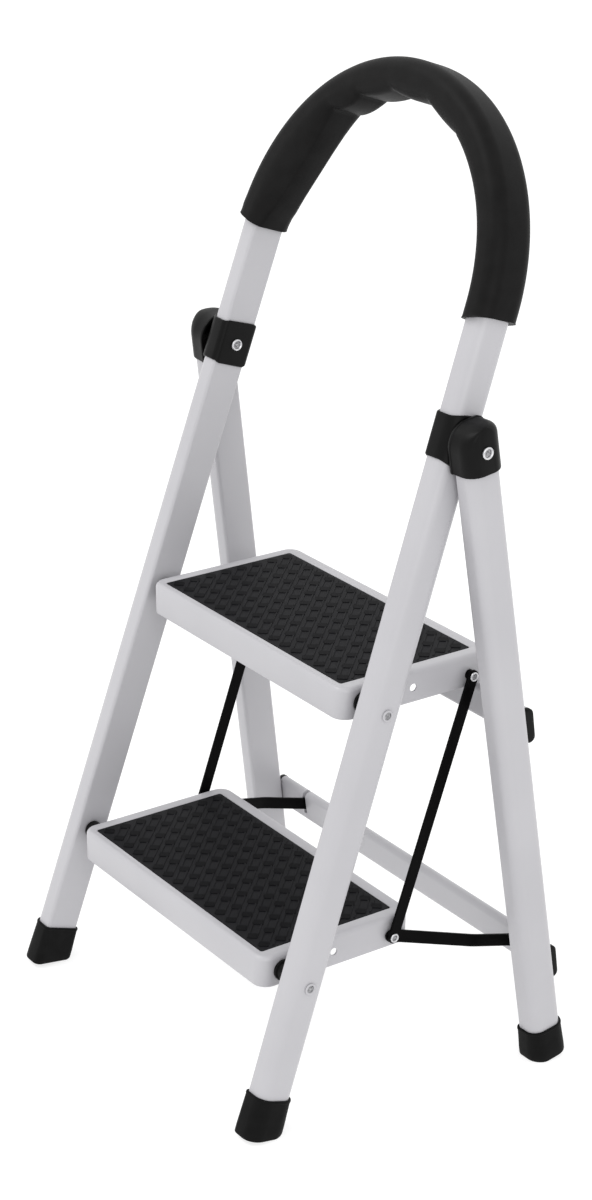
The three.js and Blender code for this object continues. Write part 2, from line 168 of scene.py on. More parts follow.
def add_loft(data, rings, closed=False, caps=True):
    """Adds a skin over rings of equal length; closed joins the last ring to the first."""
    rows = [[data.verts.new(p) for p in ring] for ring in rings]
    pairs = list(zip(rows, rows[1:]))
    if closed:
        pairs.append((rows[-1], rows[0]))
    count = len(rows[0])
    for a, b in pairs:
        for i in range(count):
            j = (i + 1) % count
            data.faces.new((a[i], a[j], b[j], b[i]))
    if caps and not closed:
        data.faces.new(rows[0][::-1])
        data.faces.new(rows[-1])


def loft(name, rings, closed=False, sharp=35):
    data = bmesh.new()
    add_loft(data, rings, closed)
    return finish_mesh(name, data, sharp)


def apply_modifiers(piece, sharp=35):
    """Replaces a piece's mesh with what its modifiers make of it."""
    graph = bpy.context.evaluated_depsgraph_get()
    mesh = bpy.data.meshes.new_from_object(piece.evaluated_get(graph))
    piece.modifiers.clear()
    old = piece.data
    piece.data = mesh
    bpy.data.meshes.remove(old)
    mesh.shade_smooth()
    mesh.set_sharp_from_angle(angle=math.radians(sharp))


def cut(piece, *tools):
    """Takes the tools' solids away from the piece and removes them."""
    for tool in tools:
        modifier = piece.modifiers.new("cut", "BOOLEAN")
        modifier.operation = "DIFFERENCE"
        modifier.solver = "EXACT"
        modifier.object = tool
    apply_modifiers(piece)
    for tool in tools:
        bpy.data.objects.remove(tool)


def bevel(piece, width, angle=35, segments=3):
    modifier = piece.modifiers.new("edge", "BEVEL")
    modifier.width = width
    modifier.segments = segments
    modifier.limit_method = "ANGLE"
    modifier.angle_limit = math.radians(angle)
    modifier.harden_normals = False
    apply_modifiers(piece, 50)


def lathe(name, profile, place, side, segments=40, sharp=35):
    """Turns (radius, along) points about the x axis at place; along runs outward."""
    rings = []
    for radius, along in profile:
        ring = []
        for k in range(segments):
            angle = 2 * math.pi * k / segments
            offset = Vector((side * along, radius * math.cos(angle), radius * math.sin(angle)))
            ring.append(place + offset)
        rings.append(ring)
    return loft(name, rings, sharp=sharp)


def block(name, low, high):
    x0, y0, z0 = low
    x1, y1, z1 = high
    corners = [(x0, y0), (x1, y0), (x1, y1), (x0, y1)]
    return loft(name, [[Vector((x, y, z)) for x, y in corners] for z in (z0, z1)])


# ---------- materials ----------


def new_material(name, color, roughness, metallic=0.0, **sockets):
    material = bpy.data.materials.new(name)
    material.use_nodes = True
    shader = material.node_tree.nodes["Principled BSDF"]
    shader.inputs["Base Color"].default_value = (*color, 1)
    shader.inputs["Roughness"].default_value = roughness
    shader.inputs["Metallic"].default_value = metallic
    for key, value in sockets.items():
        shader.inputs[key.replace("_", " ")].default_value = value
    return material


def node(material, kind, **settings):
    made = material.node_tree.nodes.new(kind)
    for key, value in settings.items():
        made.inputs[key].default_value = value
    return made


def noise(material, scale, detail=2.0, stretch=(1, 1, 1)):
    """A noise texture in the object's own coordinates; scale is in cycles a metre."""
    links = material.node_tree.links
    coordinates = node(material, "ShaderNodeTexCoord")
    mapping = node(material, "ShaderNodeMapping", Scale=stretch)
    texture = node(material, "ShaderNodeTexNoise", Scale=scale, Detail=detail)
    links.new(coordinates.outputs["Object"], mapping.inputs["Vector"])
    links.new(mapping.outputs["Vector"], texture.inputs["Vector"])
    return texture


def vary_color(material, dark, light, scale, detail=3.0):
    """Drifts the colour between two tones."""
    ramp = material.node_tree.nodes.new("ShaderNodeValToRGB")
    ramp.color_ramp.elements[0].position = 0.35
    ramp.color_ramp.elements[0].color = (*dark, 1)
    ramp.color_ramp.elements[1].position = 0.65
    ramp.color_ramp.elements[1].color = (*light, 1)
    links = material.node_tree.links
    links.new(noise(material, scale, detail).outputs["Fac"], ramp.inputs["Fac"])
    shader = material.node_tree.nodes["Principled BSDF"]
    links.new(ramp.outputs["Color"], shader.inputs["Base Color"])


def vary_roughness(material, low, high, scale):
    spread = material.node_tree.nodes.new("ShaderNodeMapRange")
    spread.inputs["To Min"].default_value = low
    spread.inputs["To Max"].default_value = high
    links = material.node_tree.links
    links.new(noise(material, scale, 4.0).outputs["Fac"], spread.inputs["Value"])
    shader = material.node_tree.nodes["Principled BSDF"]
    links.new(spread.outputs["Result"], shader.inputs["Roughness"])


def add_bump(material, texture, strength, distance):
    bump = node(material, "ShaderNodeBump", Strength=strength, Distance=distance)
    links = material.node_tree.links
    links.new(texture.outputs["Fac"], bump.inputs["Height"])
    shader = material.node_tree.nodes["Principled BSDF"]
    links.new(bump.outputs["Normal"], shader.inputs["Normal"])


def make_materials():
    made = {}
    paint = new_material("powder_coat", (0.43, 0.425, 0.445), 0.38, Coat_Weight=0.2,
                         Coat_Roughness=0.25)
    vary_color(paint, (0.42, 0.415, 0.435), (0.44, 0.435, 0.455), 9)
    vary_roughness(paint, 0.34, 0.44, 30)
    add_bump(paint, noise(paint, 900, 3.0), 0.12, 0.0002)
    made["powder_coat"] = paint

    foam = new_material("foam", (0.004, 0.004, 0.004), 0.5, Specular_IOR_Level=0.11)
    vary_color(foam, (0.0034, 0.0032, 0.0032), (0.0052, 0.005, 0.005), 60)
    add_bump(foam, noise(foam, 1800, 4.0), 0.3, 0.0003)
    made["foam"] = foam

    boot = new_material("foot_rubber", (0.0037, 0.0037, 0.0037), 0.55, Specular_IOR_Level=0.08)
    vary_color(boot, (0.003, 0.003, 0.003), (0.0045, 0.0045, 0.0045), 80)
    vary_roughness(boot, 0.45, 0.65, 150)
    add_bump(boot, noise(boot, 1400, 3.0), 0.2, 0.0002)
    made["foot_rubber"] = boot

    mat = new_material("mat_rubber", (0.0115, 0.0115, 0.013), 0.6, Specular_IOR_Level=0.1)
    vary_color(mat, (0.0065, 0.0065, 0.0078), (0.0085, 0.0085, 0.01), 40)
    add_bump(mat, noise(mat, 1500, 3.0), 0.35, 0.0002)
    made["mat_rubber"] = mat

    # Painted shade: a darker rubber for the tread pads, standing in for the shade in the tread.
    pad = new_material("mat_rubber_painted_shade", (0.005, 0.005, 0.0058), 0.55, Specular_IOR_Level=0.05)
    vary_color(pad, (0.0022, 0.0022, 0.003), (0.0034, 0.0034, 0.0042), 40)
    add_bump(pad, noise(pad, 1500, 3.0), 0.35, 0.0002)
    made["mat_rubber_painted_shade"] = pad

    plastic = new_material("black_plastic", (0.0034, 0.0034, 0.0034), 0.36, Specular_IOR_Level=0.11)
    vary_color(plastic, (0.0028, 0.0028, 0.0028), (0.004, 0.004, 0.004), 50)
    vary_roughness(plastic, 0.3, 0.44, 200)
    add_bump(plastic, noise(plastic, 2200, 2.0), 0.12, 0.0001)
    made["black_plastic"] = plastic

    enamel = new_material("black_steel", (0.0016, 0.0015, 0.0016), 0.34, Specular_IOR_Level=0.04)
    vary_color(enamel, (0.0012, 0.0011, 0.0012), (0.002, 0.0019, 0.002), 40)
    add_bump(enamel, noise(enamel, 700, 2.0), 0.1, 0.0002)
    made["black_steel"] = enamel

    zinc = new_material("zinc_steel", (0.62, 0.62, 0.63), 0.25, metallic=1.0)
    vary_color(zinc, (0.52, 0.52, 0.54), (0.7, 0.7, 0.71), 300)
    vary_roughness(zinc, 0.18, 0.36, 800)
    made["zinc_steel"] = zinc

    # Painted shade: a darker grey metal for the rivet heads' recesses, standing in for the shade inside
    # them.
    shade = new_material("rivet_recess_painted_shade", (0.3, 0.3, 0.3), 0.45, metallic=0.9)
    vary_color(shade, (0.16, 0.16, 0.17), (0.42, 0.42, 0.43), 500)
    made["rivet_recess_painted_shade"] = shade
    return made


MATERIALS = make_materials()


def settle(piece, slot, body, *nodes, material=None):
    """Gives a piece the slot's material, or the one named, if it has none; hides the nodes it stands
    for and attaches it to its body.
    """
    if not piece.data.materials:
        piece.data.materials.append(MATERIALS[material or slot])
    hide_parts(*nodes)
    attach(piece, body)
    return piece


# ---------- camera, light and floor ----------


def make_camera():
    azimuth, elevation, roll = math.radians(54.693), math.radians(22.204), math.radians(0.601)
    target = Vector((-0.06257, HINGE.y, 0.41539))
    distance = 2.68815
    back = Vector((math.sin(azimuth) * math.cos(elevation),
                   -math.cos(azimuth) * math.cos(elevation), math.sin(elevation)))
    right = Vector((math.cos(azimuth), math.sin(azimuth), 0))
    up = back.cross(right)
    turned_right = right * math.cos(roll) + up * math.sin(roll)
    turned_up = up * math.cos(roll) - right * math.sin(roll)
    data = bpy.data.cameras.new("camera")
    data.lens = 78.52
    camera = bpy.data.objects.new("camera", data)
    axes = Matrix((turned_right, turned_up, back)).transposed()
    camera.matrix_world = Matrix.Translation(target + back * distance) @ axes.to_4x4()
    bpy.context.scene.collection.objects.link(camera)
    bpy.context.scene.camera = camera


def make_light(name, place, size, power, aim=Vector((0, 0, 0.45))):
    data = bpy.data.lights.new(name, "AREA")
    data.shape = "DISK"
    data.size = size
    data.energy = power
    light = bpy.data.objects.new(name, data)
    light.location = place
    light.rotation_euler = (aim - Vector(place)).to_track_quat("-Z", "Y").to_euler()
    bpy.context.scene.collection.objects.link(light)


def make_studio():
    world = bpy.data.worlds.new("studio")
    world.use_nodes = True
    world.node_tree.nodes["Background"].inputs["Color"].default_value = (1, 1, 1, 1)
    world.node_tree.nodes["Background"].inputs["Strength"].default_value = 1.07
    bpy.context.scene.world = world
    bpy.context.scene.view_settings.view_transform = "Standard"
    make_light("key", (-1.2, -2.0, 3.6), 2.0, 40)
    make_light("fill", (2.8, -1.2, 1.6), 2.0, 17)
    reach = 12
    corners = [(-reach, -reach), (reach, -reach), (reach, reach), (-reach, reach)]
    data = bmesh.new()
    data.faces.new([data.verts.new((x, y, -0.0002)) for x, y in corners])
    floor = finish_mesh("studio_floor", data)
    material = new_material("floor", (0.4, 0.4, 0.4), 0.9, Emission_Color=(1, 1, 1, 1),
                            Emission_Strength=0.72, Specular_IOR_Level=0.0)
    vary_color(material, (0.395, 0.395, 0.395), (0.405, 0.405, 0.405), 0.5)
    floor.data.materials.append(material)


make_camera()
make_studio()

# ---------- front frame ----------


def hoop_stations(foot, steps=72):
    """(x, z, normal) along the front tube's centre line, from the right foot to the left."""
    splay = FRONT.splay
    radius = FRONT.half * math.cos(splay) - HOOP_CENTRE * math.sin(splay)
    stations = []
    for k in range(steps + 1):
        angle = splay + (math.pi - 2 * splay) * k / steps
        normal = Vector((math.cos(angle), 0, math.sin(angle)))
        stations.append((normal * radius + Vector((0, 0, HOOP_CENTRE)), normal, angle))
    first, last = stations[0], stations[-1]
    x = FRONT.leg_x(foot)
    legs = [(Vector((side * x, 0, foot)), end[1], end[2]) for side, end in ((1, first), (-1, last))]
    return [legs[0], *stations, legs[1]]


def place_section(station, outline):
    centre, normal, _ = station
    return [FRONT.matrix @ (centre + normal * out + Vector((0, depth, 0))) for depth, out in outline]


def make_front_tube():
    foot = FRONT.along(TUBE_END)
    rings = [place_section(s, leg_outline(0, 10)) for s in hoop_stations(foot)]
    piece = loft("front_tube", rings)
    settle(piece, "powder_coat", "front_frame", "front_frame_tube")


# Places round the hoop, in degrees from its right side, where the foam has folded on itself, and
# how far it swells between one fold and the next.
CREASES = (57.5, 77.5, 97.5, 113.5, 127)
SWELLS = {57.5: 6.5 * MM, 77.5: 7 * MM, 97.5: 6 * MM, 113.5: 7.5 * MM}


def foam_swell(angle):
    """How far the foam stands proud of its plain section on the inside of the bend."""
    degrees = math.degrees(angle)
    if degrees > CREASES[-1]:
        way = min(1.0, (degrees - CREASES[-1]) / 56)
        return 19 * MM * math.sin(math.pi * way ** 0.95) - 3.2 * MM * (1 - way) ** 8
    if degrees < CREASES[0]:
        return 0.6 * MM * math.exp(-((degrees - 45) / 12) ** 2)
    for low, high in zip(CREASES, CREASES[1:]):
        if low <= degrees <= high:
            way = (degrees - low) / (high - low)
            return SWELLS[low] * math.sin(math.pi * way) ** 0.6 - 3.2 * MM
    return 0.0


def grip_outline(swell):
    """Section of the foam as (depth, out), its inside swollen, most in the middle."""
    shaped = []
    for depth, out in ring_outline(GRIP["width"], GRIP["depth"], GRIP["inner"], GRIP["outer"], 10):
        inward = max(0.0, -2 * out / GRIP["width"]) ** 1.5
        middle = 1 - 0.35 * (2 * depth / GRIP["depth"]) ** 2
        shaped.append((depth, out - swell * inward * middle))
    return shaped


def grip_end_rings(side, end, swell):
    """The rings down one straight end of the foam, mitred, with a rounded lip at the cut."""
    top = HOOP_CENTRE
    rings = []
    splay = FRONT.splay
    normal = Vector((side * math.cos(splay), 0, math.sin(splay)))
    steps = [(0.35, 0, 0), (0.7, 0, 0), (0.9, 0, 0.5), (0.96, 0, 1.0), (0.985, 0.3, 1.0), (1, 1.4, 1.0)]
    for way, end_in, flare in steps:
        ring = []
        for depth, out in grip_outline(swell * (1 - way)):
            bottom = end + out * math.tan(GRIP_MITRE)
            if end < top:
                start = top
            else:
                start = end + 20 * MM
            z = start + (bottom - start) * way
            scale = 1 + (flare * 0.5 - end_in) * MM / (GRIP["width"] / 2)
            centre = Vector((side * FRONT.leg_x(z), 0, z))
            ring.append(FRONT.matrix @ (centre + normal * out * scale + Vector((0, depth * scale, 0))))
        rings.append(ring)
    throat = []
    for depth, out in leg_outline(CLEAR, 10):
        z = end + out * math.tan(GRIP_MITRE) + 0.5 * MM
        throat.append(FRONT.matrix @ (Vector((side * FRONT.leg_x(z), 0, z)) + normal * out
                                      + Vector((0, depth, 0))))
    return rings + [throat]


def make_grip():
    stations = hoop_stations(FRONT.along(TUBE_END), 180)[1:-1]
    lift = GRIP_END["left"] + 20 * MM
    along = [s for s in stations if s[0].z > (HOOP_CENTRE if s[0].x > 0 else lift) + 2 * MM]
    right = grip_end_rings(1, GRIP_END["right"], foam_swell(along[0][2]))
    left = grip_end_rings(-1, GRIP_END["left"], foam_swell(along[-1][2]))
    body = [place_section(s, grip_outline(foam_swell(s[2]))) for s in along]
    piece = loft("foam_grip", right[::-1] + body + left, sharp=60)
    settle(piece, "foam", "front_frame", "handrail_grip")


def sole_height(leg, y):
    """Height of a boot's sole above the floor: flat on its land, then rising."""
    inward = 1 if leg.lean > 0 else -1
    axis = HINGE.y - HINGE.z * math.tan(leg.lean)
    edge = (TUBE["depth"] / 2 + BOOT["wall"]) / math.cos(leg.lean)
    line = axis + inward * (edge - BOOT["land"])
    return max(0.0, inward * (line - y)) * math.tan(BOOT["rise"])


def sole_point(leg, side, depth, out, lift):
    """A point of the leg's section brought down to lift above the sole."""
    z = leg.along(0)
    for _ in range(6):
        place = leg.on_leg(side, depth, out, z)
        z += (sole_height(leg, place.y) + lift - place.z) / math.cos(leg.lean)
    return leg.on_leg(side, depth, out, z)


def make_boot(name, leg, side, rim, body):
    wall = BOOT["wall"]
    top = leg.along(rim)

    def level(grow, z):
        return [leg.on_leg(side, d, w, z) for d, w in leg_outline(grow)]

    def near_sole(grow, lift, scale=1.0):
        return [sole_point(leg, side, d * scale, w * scale, lift) for d, w in leg_outline(grow)]

    rings = [level(CLEAR, top - 4 * MM), level(CLEAR, top - 1 * MM), level(CLEAR + 0.3 * MM, top),
             level(wall * 0.5, top), level(wall * 0.75, top - 0.4 * MM),
             level(wall * 0.85, top - 1.2 * MM), level(wall * 0.85, top - 2.4 * MM),
             level(wall * 0.7, top - 3 * MM), level(wall * 0.8, top - 12 * MM)]
    rings += [near_sole(wall, 8 * MM), near_sole(wall, 1.6 * MM), near_sole(wall - 0.2 * MM, 0.8 * MM),
              near_sole(wall - 0.7 * MM, 0.2 * MM), near_sole(wall - 1.5 * MM, 0.0)]
    rings += [near_sole(wall - 1.5 * MM, 0.0, scale) for scale in (0.7, 0.4, 0.1)]
    piece = loft(name, rings)
    settle(piece, "foot_rubber", body, name)


def make_sleeve(name, side):
    """Moulded collar round the front tube; its edges dip and rise over each face."""
    wall = SLEEVE["wall"]

    def ring(grow, way, trim):
        points = []
        for depth, out in leg_outline(grow, 10):
            across = 1 - min(1, abs(depth) / (TUBE["depth"] / 2)) ** 2
            low = -SLEEVE["below"] - 5 * MM * across + 2 * MM + trim
            high = SLEEVE["above"] + depth * math.tan(SLEEVE["tilt"]) + 3.5 * MM * across - trim
            points.append(FRONT.on_leg(side, depth, out, low + (high - low) * way))
        return points

    outer = CLEAR + wall
    rings = [ring(CLEAR, 0, 0.6 * MM), ring(CLEAR + 0.5 * MM, 0, 0), ring(outer - 0.8 * MM, 0, 0),
             ring(outer, 0, 0.8 * MM), ring(outer, 0.5, 0.8 * MM), ring(outer, 1, 0.8 * MM),
             ring(outer - 0.8 * MM, 1, 0), ring(CLEAR + 0.5 * MM, 1, 0), ring(CLEAR, 1, 0.6 * MM),
             ring(CLEAR, 0.5, 0.6 * MM)]
    piece = loft(name, rings, closed=True)
    settle(piece, "black_plastic", "front_frame", name)


def rivet_head(name, place, side, outside, radius, height, body, node_name, finish="zinc_steel"):
    """Rolled rivet head: a domed ring round a recess with a pip, on a shank that runs inward."""
    bore = radius * 0.62
    profile = [(radius * 0.6, -3 * MM), (radius * 0.97, -0.2 * MM), (radius, 0.15 * height)]
    for k in range(7):
        angle = math.pi * k / 6
        middle = (radius + bore) / 2
        profile.append((middle + (radius - middle) * math.cos(angle),
                        height * (0.35 + 0.65 * math.sin(angle))))
    profile += [(bore * 0.92, 0.1 * height), (bore * 0.5, 0.05 * height),
                (bore * 0.4, 0.3 * height), (bore * 0.1, 0.38 * height)]
    piece = lathe(name, [(r, outside + a) for r, a in profile], place, side)
    piece.data.materials.append(MATERIALS[finish])
    piece.data.materials.append(MATERIALS["rivet_recess_painted_shade"])
    # Faces inside the recess take the painted-shade material.
    floor_x = outside + 0.4 * height
    for face in piece.data.polygons:
        reach = math.hypot(face.center.y - place.y, face.center.z - place.z)
        deep = side * face.center.x < floor_x
        if reach < bore * 1.02 and deep:
            face.material_index = 1
    settle(piece, "zinc_steel", body, node_name)


def pair_of_heads(name, place, side, inside, outside, radius, height, body, finish="zinc_steel"):
    """The two heads of one rivet, outside and inside."""
    rivet_head(name, place, side, outside, radius, height, body, name, finish)
    rivet_head(name + "_inner", place, -side, -inside, radius, height, body, name)


def make_spacer(name, place, side, inside, outside):
    radius = 11 * MM
    profile = [(5 * MM, inside), (radius - 1.2 * MM, inside), (radius - 0.3 * MM, inside + 0.4 * MM),
               (radius, inside + 1.2 * MM), (radius, inside + 3.4 * MM),
               (radius - 1.6 * MM, inside + 4.2 * MM), (radius - 1.6 * MM, outside - 1.4 * MM),
               (radius - 2.4 * MM, outside - 0.3 * MM), (radius - 3.2 * MM, outside),
               (5 * MM, outside)]
    piece = lathe(name, profile, Vector((0, place.y, place.z)), side)
    settle(piece, "black_plastic", "front_frame", name)


make_front_tube()
make_grip()
for label, sign in SIDES.items():
    make_boot(f"front_foot_{label}", FRONT, sign, BOOT_RIM["front"], "front_frame")
    make_sleeve(f"hinge_sleeve_{label}", sign)
    hinge_inside = FRONT.half - TUBE["width"] / 2 - SLEEVE["wall"] - 2 * CLEAR
    hinge_outside = REAR.half + TUBE["width"] / 2 + CAP["wall"] + 2 * CLEAR
    pair_of_heads(f"hinge_rivet_{label}", HINGE, sign, hinge_inside, hinge_outside,
                  6.2 * MM, 2 * MM, "front_frame")
    for step in LEVELS:
        pivot = STEP_PIVOT[step]
        tube_x = FRONT.leg_x(FRONT.along(pivot.z))
        tray_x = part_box(f"{step}_step_tray")[1].x
        pair_of_heads(f"{step}_step_rivet_{label}", pivot, sign, tray_x - SHEET - CLEAR,
                      tube_x + TUBE["width"] / 2 + 0.5 * MM, 6 * MM, 1.6 * MM, "front_frame",
                      "powder_coat")
        make_spacer(f"{step}_step_spacer_{label}", pivot, sign, tray_x + CLEAR,
                    tube_x - TUBE["width"] / 2 - 0.6 * MM)

# ---------- rear frame ----------


def make_rear_leg(name, side):
    rings = [[REAR.on_leg(side, d, w, z) for d, w in leg_outline(0, 10)]
             for z in (REAR.along(TUBE_END), REAR_TOP)]
    settle(loft(name, rings), "powder_coat", "rear_frame", name)


def cap_outline(inset, drawn_in, steps=10):
    """Side view of the cap as (depth, z): a big round at the front top, a small one behind."""
    half = TUBE["depth"] / 2 + CLEAR + CAP["wall"] - drawn_in
    top = CAP["above"] - inset
    low_round = 1.5 * MM
    rear = min(CAP["rear"], 0.8 * half)
    front = min(CAP["front"] - drawn_in, 1.1 * half)
    return rounded([(-half, -CAP["below"], low_round), (half, -CAP["below"], low_round),
                    (half, top, rear), (-half, top, front)], steps)


def make_cap(name, side):
    """Moulded cap: a flange towards the front tube, then a body rounded towards the outside."""
    grow = CLEAR + CAP["wall"]
    inner, outer = -TUBE["width"] / 2 - 1.2 * MM, TUBE["width"] / 2 + grow
    radius = TUBE["outer"] + grow
    flange = 2.6 * MM
    levels = [(inner, 0.3 * MM, 0.3 * MM), (inner + 0.4 * MM, 0, 0), (inner + flange, 0, 0),
              (inner + flange + 0.4 * MM, 0.7 * MM, 0.7 * MM)]
    for k in range(13):
        angle = math.pi / 2 * k / 12
        drawn_in = radius * (1 - math.cos(angle))
        levels.append((outer - radius * (1 - math.sin(angle)), 0.7 * MM + 0.12 * drawn_in,
                       0.7 * MM + 0.93 * drawn_in))
    rings = [[REAR.on_leg(side, depth, out, z) for depth, z in cap_outline(inset, drawn_in)]
             for out, inset, drawn_in in levels]
    piece = loft(name, rings)
    pocket_rings = []
    for z in (-CAP["below"] - 5 * MM, REAR_TOP + CLEAR):
        pocket_rings.append([REAR.on_leg(side, d, w, z) for d, w in leg_outline(CLEAR, 10)])
    pocket = loft(name + "_pocket", pocket_rings)
    wall = 2.8 * MM
    ledge = REAR_TOP + 1 * MM
    above = [(depth, z) for depth, z in cap_outline(wall, wall) if z > ledge + 0.5 * MM]
    hollow_outline = [(above[0][0], ledge), *above, (above[-1][0], ledge)]
    hollow = loft(name + "_hollow", [[REAR.on_leg(side, depth, out, z) for depth, z in hollow_outline]
                                     for out in (inner - 5 * MM, 7 * MM)])
    # The relief stops 0.3 mm short of the pocket and leaves a thin black skin of the cap over the rear
    # leg's inner face: a dark sheet standing in for painted shade in the gap.
    relief_half = TUBE["depth"] / 2 + CLEAR
    corners = [(-relief_half, inner - 5 * MM), (relief_half, inner - 5 * MM),
               (relief_half, inner + 0.6 * MM), (-relief_half, inner + 0.6 * MM)]
    relief = loft(name + "_relief", [[REAR.on_leg(side, d, w, z) for d, w in corners]
                                     for z in (-CAP["below"] - 5 * MM, REAR_TOP)])
    cut(piece, pocket, hollow, relief)
    bevel(piece, 0.4 * MM, 50)
    settle(piece, "black_plastic", "rear_frame", name)


CROSSBAR_DEPTH = 12 * MM
CROSSBAR_Y = TUBE["depth"] / 2 + 2 * CLEAR + CROSSBAR_DEPTH / 2
CROSSBAR_HEIGHT = 36.5 * MM


def crossbar_middle(name):
    low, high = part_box(name)
    return Vector((0, (low.y + high.y) / 2, (low.z + high.z) / 2)), high.x


def on_crossbar(middle, across, up, x):
    """World place of a point of a crossbar's section, which leans with the rear frame."""
    turned = Matrix.Rotation(-REAR.lean, 3, "X") @ Vector((0, across, up))
    return Vector((x, middle.y + turned.y, middle.z + turned.z))


def make_crossbar(name, slotted):
    middle, half = crossbar_middle(name)
    outline = stadium(CROSSBAR_HEIGHT, CROSSBAR_DEPTH)
    rings = [[on_crossbar(middle, y, z, x) for y, z in outline] for x in (-half, half)]
    piece = loft(name, rings)
    if slotted:
        tools = []
        for side in SIDES.values():
            corners = [(-CROSSBAR_DEPTH, -SLOT["below"]), (CROSSBAR_DEPTH, -SLOT["below"]),
                       (CROSSBAR_DEPTH, CROSSBAR_HEIGHT), (-CROSSBAR_DEPTH, CROSSBAR_HEIGHT)]
            edges = (side * SLOT["x"] - SLOT["width"] / 2, side * SLOT["x"] + SLOT["width"] / 2)
            tools.append(loft(f"slot_{side}", [[on_crossbar(middle, y, z, x) for y, z in corners]
                                               for x in edges]))
        cut(piece, *tools)
    settle(piece, "powder_coat", "rear_frame", name)


def make_plug(name, bar, side):
    """Moulded plug that sleeves over a crossbar's end, with a softly rounded end face."""
    middle, half = crossbar_middle(bar)
    grow = 2 * CLEAR
    start, end = half - 3 * MM, half + 2.5 * MM

    def ring(inset, x):
        outline = stadium(CROSSBAR_HEIGHT + grow - 2 * inset, CROSSBAR_DEPTH + grow - 2 * inset)
        return [on_crossbar(middle, y, z, side * x) for y, z in outline]

    rings = [ring(2.4 * MM, start + 1.5 * MM), ring(1.6 * MM, start), ring(0.5 * MM, start),
             ring(0, start + 0.5 * MM), ring(0, end - 1.2 * MM), ring(0.3 * MM, end - 0.4 * MM),
             ring(1.2 * MM, end), ring(3.2 * MM, end + 0.0), ring(5 * MM, end)]
    piece = loft(name, rings)
    settle(piece, "black_plastic", "rear_frame", name)


for label, sign in SIDES.items():
    make_rear_leg(f"rear_leg_{label}", sign)
    make_cap(f"hinge_cap_{label}", sign)
    make_boot(f"rear_foot_{label}", REAR, sign, BOOT_RIM["rear"], "rear_frame")
for step in LEVELS:
    make_crossbar(f"{step}_crossbar", step == "lower")
    for label, sign in SIDES.items():
        make_plug(f"{step}_crossbar_plug_{label}", f"{step}_crossbar", sign)

# ---------- steps ----------


def make_tray(level):
    """Pressed sheet tray: recess for the mat, rounded rim, deep skirt with a turned-in hem."""
    name = f"{level}_step_tray"
    low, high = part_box(name)
    mat_low, mat_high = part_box(f"{level}_step_mat")
    top, bottom = high.z, low.z

    def outer(inset, z):
        radius = max(TRAY_CORNER - inset, 3 * MM)
        outline = box_outline(low.x + inset, high.x - inset, low.y + inset, high.y - inset, radius, 10)
        return [Vector((x, y, z)) for x, y in outline]

    def recess(out, z):
        outline = box_outline(mat_low.x - out, mat_high.x + out, mat_low.y - out, mat_high.y + out,
                              2 * MM + out, 10)
        return [Vector((x, y, z)) for x, y in outline]

    edge = TRAY_EDGE
    rings = [recess(CLEAR, top - MAT_RECESS), recess(CLEAR, top - 0.7 * MM),
             recess(CLEAR + 0.2 * MM, top - 0.2 * MM), recess(CLEAR + 0.7 * MM, top)]
    for k in range(9):
        angle = math.pi / 2 * k / 8
        rings.append(outer(edge * (1 - math.sin(angle)), top - edge * (1 - math.cos(angle))))
    rings += [outer(0, bottom + 1.4 * MM), outer(0.4 * MM, bottom + 0.4 * MM), outer(1.4 * MM, bottom),
              outer(6 * MM, bottom), outer(6.7 * MM, bottom + 0.7 * MM),
              outer(6 * MM, bottom + 1.4 * MM), outer(SHEET + 1 * MM, bottom + 1.5 * MM),
              outer(SHEET, bottom + 2.5 * MM), outer(SHEET, top - edge)]
    inner_edge = edge - SHEET
    for k in range(1, 6):
        angle = math.pi / 2 * k / 5
        rings.append(outer(SHEET + inner_edge * (1 - math.cos(angle)),
                           top - edge + inner_edge * math.sin(angle)))
    rings += [recess(CLEAR + SHEET + 0.4 * MM, top - SHEET),
              recess(CLEAR + SHEET, top - MAT_RECESS - SHEET)]
    piece = loft(name, rings, sharp=50)
    pivot = STEP_PIVOT[level]
    eye = Vector((0, pivot.y + SIGHT_HOLE["y"], pivot.z + SIGHT_HOLE["z"]))
    drill = lathe("drill", [(SIGHT_HOLE["radius"], -high.x - 5 * MM),
                            (SIGHT_HOLE["radius"], high.x + 5 * MM)], eye, 1, 32)
    cut(piece, drill)
    settle(piece, "powder_coat", f"{level}_step", name)


def clip_to(points, low, high):
    """Convex polygon cut to a rectangle."""
    limits = ((0, low[0], 1), (0, high[0], -1), (1, low[1], 1), (1, high[1], -1))
    for axis, limit, sense in limits:
        kept = []
        for i, point in enumerate(points):
            before = points[i - 1]
            inside = sense * (point[axis] - limit) >= 0
            was_inside = sense * (before[axis] - limit) >= 0
            if inside != was_inside:
                way = (limit - before[axis]) / (point[axis] - before[axis])
                kept.append((before[0] + (point[0] - before[0]) * way,
                             before[1] + (point[1] - before[1]) * way))
            if inside:
                kept.append(point)
        points = kept
        if len(points) < 3:
            return []
    return points


def polygon_area(points):
    return abs(sum(points[i - 1][0] * p[1] - p[0] * points[i - 1][1]
                   for i, p in enumerate(points))) / 2


# Tread pattern of a mat: pads on a lattice, darkened with painted shade, with pairs of thin ribs
# between them.
MAT_PATTERN = {"x": 19.1 * MM, "y": 19.4 * MM, "rise": 0.7 * MM}
PAD = {"long": 11.5 * MM, "wide": 10.5 * MM, "angle": math.radians(50)}
RIB = {"long": 21 * MM, "wide": 1.5 * MM, "angle": math.radians(-45), "offset": 3 * MM}


